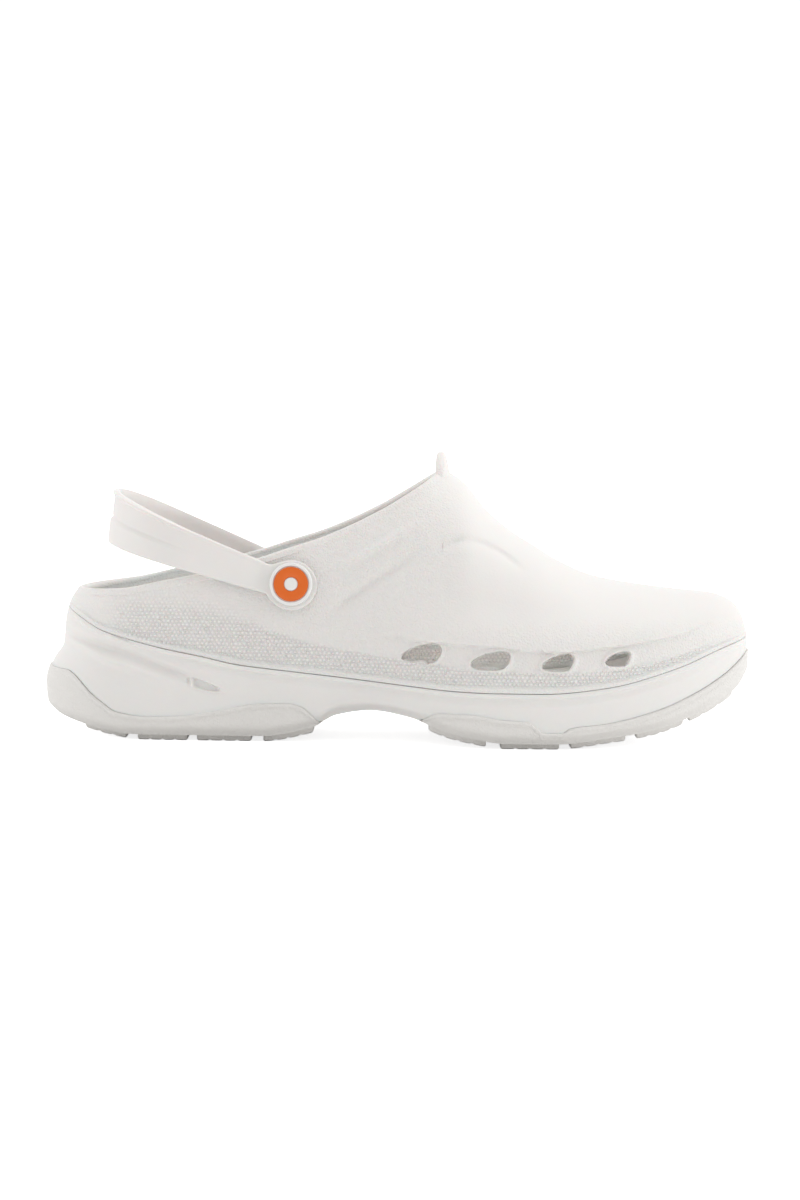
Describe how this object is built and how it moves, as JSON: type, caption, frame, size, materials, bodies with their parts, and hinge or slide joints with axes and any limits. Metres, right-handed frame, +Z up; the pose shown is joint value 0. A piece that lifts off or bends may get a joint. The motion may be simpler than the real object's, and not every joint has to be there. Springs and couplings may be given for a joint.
{
  "type": "chef clog",
  "caption": "White moulded clog for kitchen work with a swinging heel strap, side vents and a treaded sole; right shoe.",
  "frame": {"origin": "middle of the shoe's box, on the floor under its sole", "axes": "+Z up, +X from heel to toe, +Y to the inner side of the foot"},
  "size_m": [0.289, 0.1096, 0.1162],
  "materials": {
    "upper_foam": "white closed-cell foam with a fine moulded grain, satin",
    "sole_foam": "white closed-cell foam, smooth satin",
    "tread_rubber": "white rubber, fine grain, matte",
    "footbed_foam": "white foam footbed, dimpled, matte",
    "strap_foam": "white closed-cell foam, smooth satin",
    "rivet_plastic": "white plastic, polished",
    "ring_plastic": "orange plastic inlay, satin"
  },
  "bodies": {
    "root": {"upper": "upper_foam", "midsole": "sole_foam", "outsole_heel": "tread_rubber", "outsole_forefoot": "tread_rubber", "insole": "footbed_foam", "heel_strap": "strap_foam", "rivet_lateral": "rivet_plastic", "rivet_medial": "rivet_plastic", "rivet_ring_lateral": "ring_plastic", "rivet_ring_medial": "ring_plastic"}
  },
  "joints": []
}
